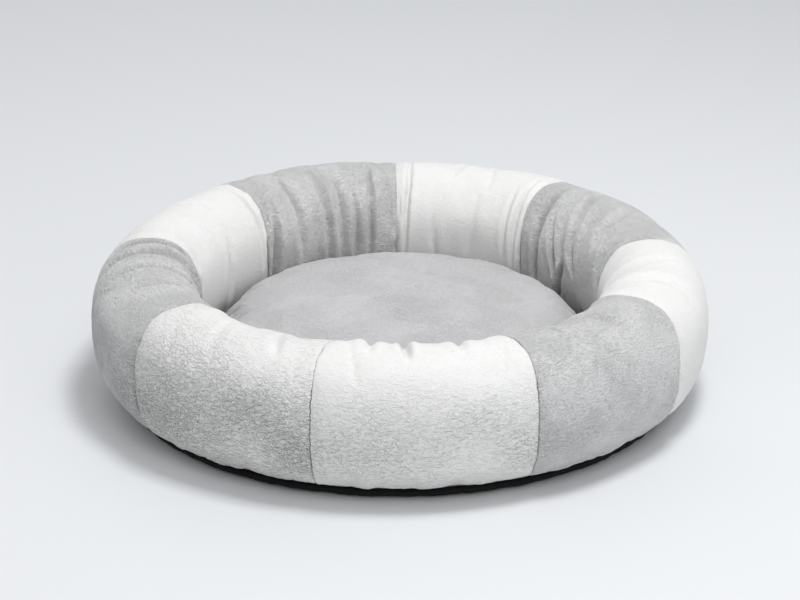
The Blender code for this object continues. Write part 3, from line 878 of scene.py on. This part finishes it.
topLine, _ = topOutline(cushion["fillInset"][0], 40)
underLine, _ = underOutline(cushion["fillInset"][1], 40)
lens = np.concatenate([topLine, underLine[::-1]])
lens[:, 0] = np.minimum(lens[:, 0], cushion["radius"] - cushion["fillInset"][0])
cushionFilling = spinPiece("cushion_filling", lens, 96, materials["filling"], closed=False)
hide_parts("cushion_fill")

wadding = {"radius": 0.2635, "middle": 0.13, "low": 0.0022, "high": 0.0064, "edge": 0.0020}
padAcross = (0.0, wadding["middle"], wadding["radius"] - wadding["edge"])
pad = [(r, wadding["low"]) for r in padAcross]
pad.append((wadding["radius"], (wadding["low"] + wadding["high"]) / 2))
pad += [(r, wadding["high"]) for r in padAcross[::-1]]
basePadding = spinPiece("base_padding", pad, 96, materials["filling"], closed=False)
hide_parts("base_wadding")
fillings = ((bolsterFilling, "bed", 0.85), (cushionFilling, "cushion", 0.75), (basePadding, "bed", 0.4))
for piece, body, fill in fillings:
    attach(piece, body)
print("stuffing made")


# base: a black woven pan, dark enough to also stand in for the contact shadow under the hem (painted shadow),
# with non-slip dots below, and the lining that the cushion lies on

base = {"radius": 0.2710, "floorRadius": 0.260, "height": 0.0098, "low": 0.0007, "lip": 0.004,
        "pucker": 0.0011, "allowance": 0.008, "dotPitch": 0.017, "dotRadius": 0.0026, "dotField": 0.252}
panFloor = [(r, base["low"]) for r in (0.0, *np.linspace(0.01, base["floorRadius"] - 0.004, 34))]
turnUp = [(base["floorRadius"] + (base["radius"] - base["floorRadius"]) * math.sin(a),
           base["low"] + (base["height"] * 0.7 - base["low"]) * (1 - math.cos(a)))
          for a in np.linspace(0, math.pi / 2, 9)]
panLip = [(base["radius"] - 0.0006, base["height"] * 0.9), (base["radius"] - base["lip"], base["height"])]
panLine = panFloor + turnUp + panLip
basePan = spinPiece("base_pan", panLine, 420, materials["baseWeaveAndShadow"], closed=False)
points = readPoints(basePan.data)
r = fromAxis(points)
gathered = flatNoise(points[:, 0], points[:, 1], 0.009, 71)
lift = base["pucker"] * gathered * ramp(r, base["floorRadius"] - 0.010, base["floorRadius"] + 0.006)
points[:, 0] += points[:, 0] / np.maximum(r, 0.001) * lift
points[:, 1] += points[:, 1] / np.maximum(r, 0.001) * lift
points[:, 2] += 0.0002 * noise(points, 0.03, 72) * ramp(points[:, 2], 0, 0.002)
setPoints(basePan.data, points)
faceUp(basePan, False)
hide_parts("base_cloth")
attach(basePan, "bed")

bm = bmesh.new()
rowStep = base["dotPitch"] * math.sqrt(3) / 2
reachRows = int(base["dotField"] / rowStep)
reachColumns = int(base["dotField"] / base["dotPitch"]) + 2
for row in range(-reachRows, reachRows + 1):
    for column in range(-reachColumns, reachColumns + 1):
        x, y = (column + 0.5 * (row % 2)) * base["dotPitch"], row * rowStep
        if math.hypot(x, y) < base["dotField"]:
            bmesh.ops.create_cone(bm, cap_ends=True, segments=12, radius1=base["dotRadius"] * 0.75,
                                  radius2=base["dotRadius"], depth=base["low"] - 0.0001,
                                  matrix=Matrix.Translation((x, y, base["low"] / 2)))
dots = addPiece("grip_dots", bm, materials["gripRubber"], smooth=False)
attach(dots, "bed")

lining = {"radius": 0.2235, "height": 0.0080, "edge": 0.0100, "turnUp": 0.012, "crease": 0.0009,
          "uneven": 0.0003}
liningFlat = lining["radius"] - lining["turnUp"]
liningLine = [(r, lining["height"]) for r in (0.0, *np.linspace(0.004, liningFlat, 52))]
liningLine += [(liningFlat + lining["turnUp"] * share,
                lining["height"] + (lining["edge"] - lining["height"]) * share ** 2)
               for share in (0.33, 0.66, 1.0)]
floorLining = spinPiece("floor_lining", liningLine, 300, materials["liningWeave"], closed=False)
points = readPoints(floorLining.data)
r = fromAxis(points)
crease = 1 - np.abs(noise(points * np.array([1, 0.45, 0]) + 3.0, 0.045, 81))
creased = lining["crease"] * crease ** 6 + lining["uneven"] * noise(points, 0.02, 82)
points[:, 2] += creased * ramp(r, 0.14, 0.17) * ramp(0.222 - r, 0, 0.01)
setPoints(floorLining.data, points)
faceUp(floorLining, True)
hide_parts("floor_cloth")
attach(floorLining, "bed")
print("base made")


# once everything under them is in place, the panels' CAD parts are hidden and the panels joined to the bed

for node, piece in panels.items():
    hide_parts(node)
    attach(piece, "bed")
for disc in discs.values():
    across = 2 * disc["length"]


# zip: toothed coils, stops and tapes stay on the cushion; the runner and its tab move

zipper = {
    "seam": cushion["seam"],
    "coilRadius": sum(radii("zip_coil_upper")) / 2,
    "pitch": 0.0014,
    "tooth": (0.0011, 0.00056, 0.0014),    # half sizes out, along and up
    "offset": 0.0009,
    "plateBack": 0.1854, "plateFace": 0.1869, "plateLength": 0.010, "plateHeight": 0.0070,
    "plateNarrow": 0.72, "wing": (0.0022, 0.0090, 0.0005), "wingAt": (0.1847, 0.0030),
    "pinRadius": 0.00045, "lugThick": 0.0007, "lugWidth": 0.0024, "lugPast": 0.0009, "lugSunk": 0.0006,
    "tabLength": 0.0115, "tabThick": 0.0009, "tabHeight": 0.0046, "eyeWall": 0.0008,
    "hole": (0.0079, 0.0021, 0.0011),      # from the pin to its middle, and its half length and height
}
coilSpan = azimuthSpan("zip_coil_upper")
arcLength = math.radians(coilSpan[1] - coilSpan[0]) * zipper["coilRadius"]
toothCount = int(arcLength / zipper["pitch"])
for side, sign in (("upper", 1), ("lower", -1)):
    bm = bmesh.new()
    for i in range(toothCount):
        along = (i + (0.75 if sign > 0 else 0.25)) / toothCount
        azimuth = math.radians(coilSpan[0] + (coilSpan[1] - coilSpan[0]) * along)
        place = (Matrix.Rotation(azimuth, 4, "Z")
                 @ Matrix.Translation((zipper["coilRadius"], 0, zipper["seam"] + sign * zipper["offset"]))
                 @ Matrix.Diagonal((*zipper["tooth"], 1.0)))
        bmesh.ops.create_uvsphere(bm, u_segments=10, v_segments=7, radius=1.0, matrix=place)
    coil = addPiece(f"coil_{side}", bm, materials["zipNylon"])
    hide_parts(f"zip_coil_{side}")
    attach(coil, "cushion")
for side in ("upper", "lower"):
    frame["nodes"][f"zip_tape_{side}"].material_slots[0].material = materials["zipTape"]
for end in ("closed", "open"):
    frame["nodes"][f"zip_stop_{end}_end"].material_slots[0].material = materials["zipMetal"]


def addBlock(bm, size, at, bevel, narrow=1.0):
    # a block with rounded edges; its far end along Y may be narrower
    made = bmesh.ops.create_cube(bm, size=1.0, matrix=Matrix.Translation(at) @ Matrix.Diagonal((*size, 1.0)))
    for vert in made["verts"]:
        if vert.co.y > at[1]:
            vert.co.z = at[2] + (vert.co.z - at[2]) * narrow
    edges = {edge for vert in made["verts"] for edge in vert.link_edges}
    bmesh.ops.bevel(bm, geom=list(edges), offset=bevel, segments=3, affect="EDGES", profile=0.5, material=-1)


pinAt = Vector(next(joint["pos_m"] for joint in frame["joints"] if joint["name"] == "pull_flip"))
pinOut = math.hypot(pinAt.x, pinAt.y)
pinAzimuth = math.atan2(pinAt.y, pinAt.x)
plate = (zipper["plateFace"] - zipper["plateBack"], zipper["plateLength"], zipper["plateHeight"])
lugFrom, lugTo = zipper["plateFace"] - zipper["lugSunk"], pinOut + zipper["lugPast"]
lug = (lugTo - lugFrom, zipper["lugWidth"], zipper["lugThick"])
lugUp = (zipper["tabHeight"] + zipper["lugThick"] + 0.0003) / 2
bm = bmesh.new()
addBlock(bm, plate, ((zipper["plateFace"] + zipper["plateBack"]) / 2, 0, pinAt.z), 0.0005,
         narrow=zipper["plateNarrow"])
for sign in (1, -1):
    addBlock(bm, lug, ((lugFrom + lugTo) / 2, 0, pinAt.z + sign * lugUp), 0.0002)
    addBlock(bm, zipper["wing"], (zipper["wingAt"][0], 0, pinAt.z + sign * zipper["wingAt"][1]), 0.0001,
             narrow=0.9)
bmesh.ops.create_cone(bm, cap_ends=True, segments=20, radius1=zipper["pinRadius"],
                      radius2=zipper["pinRadius"], depth=zipper["tabHeight"] + zipper["lugThick"],
                      matrix=Matrix.Translation((pinOut, 0, pinAt.z)))
bmesh.ops.rotate(bm, verts=bm.verts, cent=(0, 0, 0), matrix=Matrix.Rotation(pinAzimuth, 3, "Z"))
runner = addPiece("zip_runner", bm, materials["zipMetal"])
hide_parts("zip_slider")
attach(runner, "zip_slider")


def addRing(bm, outer, inner, thickness):
    # a flat plate with a hole, from two loops of points in the XZ plane, thickened along Y
    loops = []
    for line in (outer, inner):
        verts = [bm.verts.new((x, -thickness / 2, z)) for x, z in line]
        loops.append([bm.edges.new((a, b)) for a, b in zip(verts, verts[1:] + verts[:1])])
    faces = bmesh.ops.bridge_loops(bm, edges=loops[0] + loops[1])["faces"]
    made = bmesh.ops.extrude_face_region(bm, geom=faces)["geom"]
    verts = [item for item in made if isinstance(item, bmesh.types.BMVert)]
    bmesh.ops.translate(bm, verts=verts, vec=(0, thickness, 0))


def stadium(low, high, half, count, corner):
    # a rounded outline from low to high along X
    angle = np.linspace(0, 2 * math.pi, count, endpoint=False)
    power = 2 / corner
    x = (low + high) / 2 + (high - low) / 2 * np.sign(np.cos(angle)) * np.abs(np.cos(angle)) ** power
    z = half * np.sign(np.sin(angle)) * np.abs(np.sin(angle)) ** power
    return list(zip(x, z))


bm = bmesh.new()
holeAt, holeLong, holeHigh = zipper["hole"]
hole = stadium(holeAt - holeLong, holeAt + holeLong, holeHigh, 40, 2.4)
addRing(bm, stadium(0.0010, zipper["tabLength"], zipper["tabHeight"] / 2, 40, 4.5), hole, zipper["tabThick"])
eyeOuter = zipper["pinRadius"] + zipper["eyeWall"]
bmesh.ops.create_cone(bm, cap_ends=True, segments=24, radius1=eyeOuter, radius2=eyeOuter,
                      depth=zipper["tabHeight"] - 0.0002)
bmesh.ops.recalc_face_normals(bm, faces=bm.faces)
sharp = [edge for edge in bm.edges if len(edge.link_faces) == 2 and edge.calc_face_angle() > 0.9]
bmesh.ops.bevel(bm, geom=sharp, offset=0.00014, segments=2, affect="EDGES", profile=0.5, material=-1)
bmesh.ops.rotate(bm, verts=bm.verts, cent=(0, 0, 0),
                 matrix=Matrix.Rotation(pinAzimuth + math.pi / 2, 3, "Z"))
bmesh.ops.translate(bm, verts=bm.verts, vec=pinAt)
tab = addPiece("zip_tab", bm, materials["zipMetal"])
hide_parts("zip_pull")
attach(tab, "zip_pull")
print("zip made")


# label: a blank satin flap caught in the cushion's seam

label = {"azimuth": 205.0, "width": 0.030, "top": 0.0335, "bottom": 0.0140, "radius": 0.1879,
         "stand": 0.0012, "curl": 0.0006}
flap = gridPiece("label_flap", 24, 16, materials["labelSatin"])
pattern = getPattern(flap.data)
across = (pattern[:, 0] - 0.5) * label["width"]
azimuth = math.radians(label["azimuth"]) + across / label["radius"]
height = label["bottom"] + (label["top"] - label["bottom"]) * pattern[:, 1]
hanging = 1 - pattern[:, 1]
out = label["radius"] + label["stand"] * ramp(hanging, 0.0, 0.2)
out = out + label["curl"] * hanging ** 1.6 * np.sin(across * 260.0)
setPoints(flap.data, polar(out, azimuth, height))
setCloth(flap.data, np.stack([across, height], axis=1))
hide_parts("care_label")
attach(flap, "cushion")
print("label made")


# stage, light and camera

floorMaterial, _, floorShader = startMaterial("paleFloor", roughness=0.6, specular=0.3)
floorShader.inputs["Base Color"].default_value = (0.70, 0.715, 0.73, 1)
bm = bmesh.new()
bmesh.ops.create_grid(bm, x_segments=1, y_segments=1, size=12.0)
bmesh.ops.translate(bm, verts=bm.verts, vec=(0, 0, -0.0002))
floor = addPiece("floor", bm, floorMaterial, smooth=False)

world = bpy.data.worlds.new("studio")
scene.world = world
world.use_nodes = True
world.node_tree.nodes["Background"].inputs[0].default_value = (0.98, 0.985, 1.0, 1)
world.node_tree.nodes["Background"].inputs[1].default_value = 0.54
scene.view_settings.view_transform = "Standard"

lamps = {
    "keyLamp": {"at": (0.42, -0.25, 2.4), "size": 0.6, "power": 32.5},
    "frontLamp": {"at": (0.5, -2.0, 2.3), "size": 1.0, "power": 10},
    "fillLamp": {"at": (1.3, -2.2, 0.9), "size": 1.2, "power": 11.5},
    "sideLamp": {"at": (-2.1, 0.1, 0.8), "size": 1.5, "power": 2.5},
    "backLamp": {"at": (-0.6, 2.2, 1.8), "size": 1.8, "power": 6},
}
for name, lamp in lamps.items():
    light = bpy.data.lights.new(name, "AREA")
    light.shape = "SQUARE"
    light.size = lamp["size"]
    light.energy = lamp["power"]
    item = bpy.data.objects.new(name, light)
    item.location = lamp["at"]
    item.rotation_euler = (Vector((0, 0, 0.05)) - Vector(lamp["at"])).to_track_quat("-Z", "Y").to_euler()
    scene.collection.objects.link(item)

cameraView = {"at": (0.0, -2.198, 0.949), "down": 21.44, "lens": 108.0}
cameraData = bpy.data.cameras.new("camera")
cameraData.lens = cameraView["lens"]
cameraData.sensor_width = 36.0
camera = bpy.data.objects.new("camera", cameraData)
camera.location = cameraView["at"]
camera.rotation_euler = (math.radians(90 - cameraView["down"]), 0, 0)
scene.collection.objects.link(camera)
scene.camera = camera
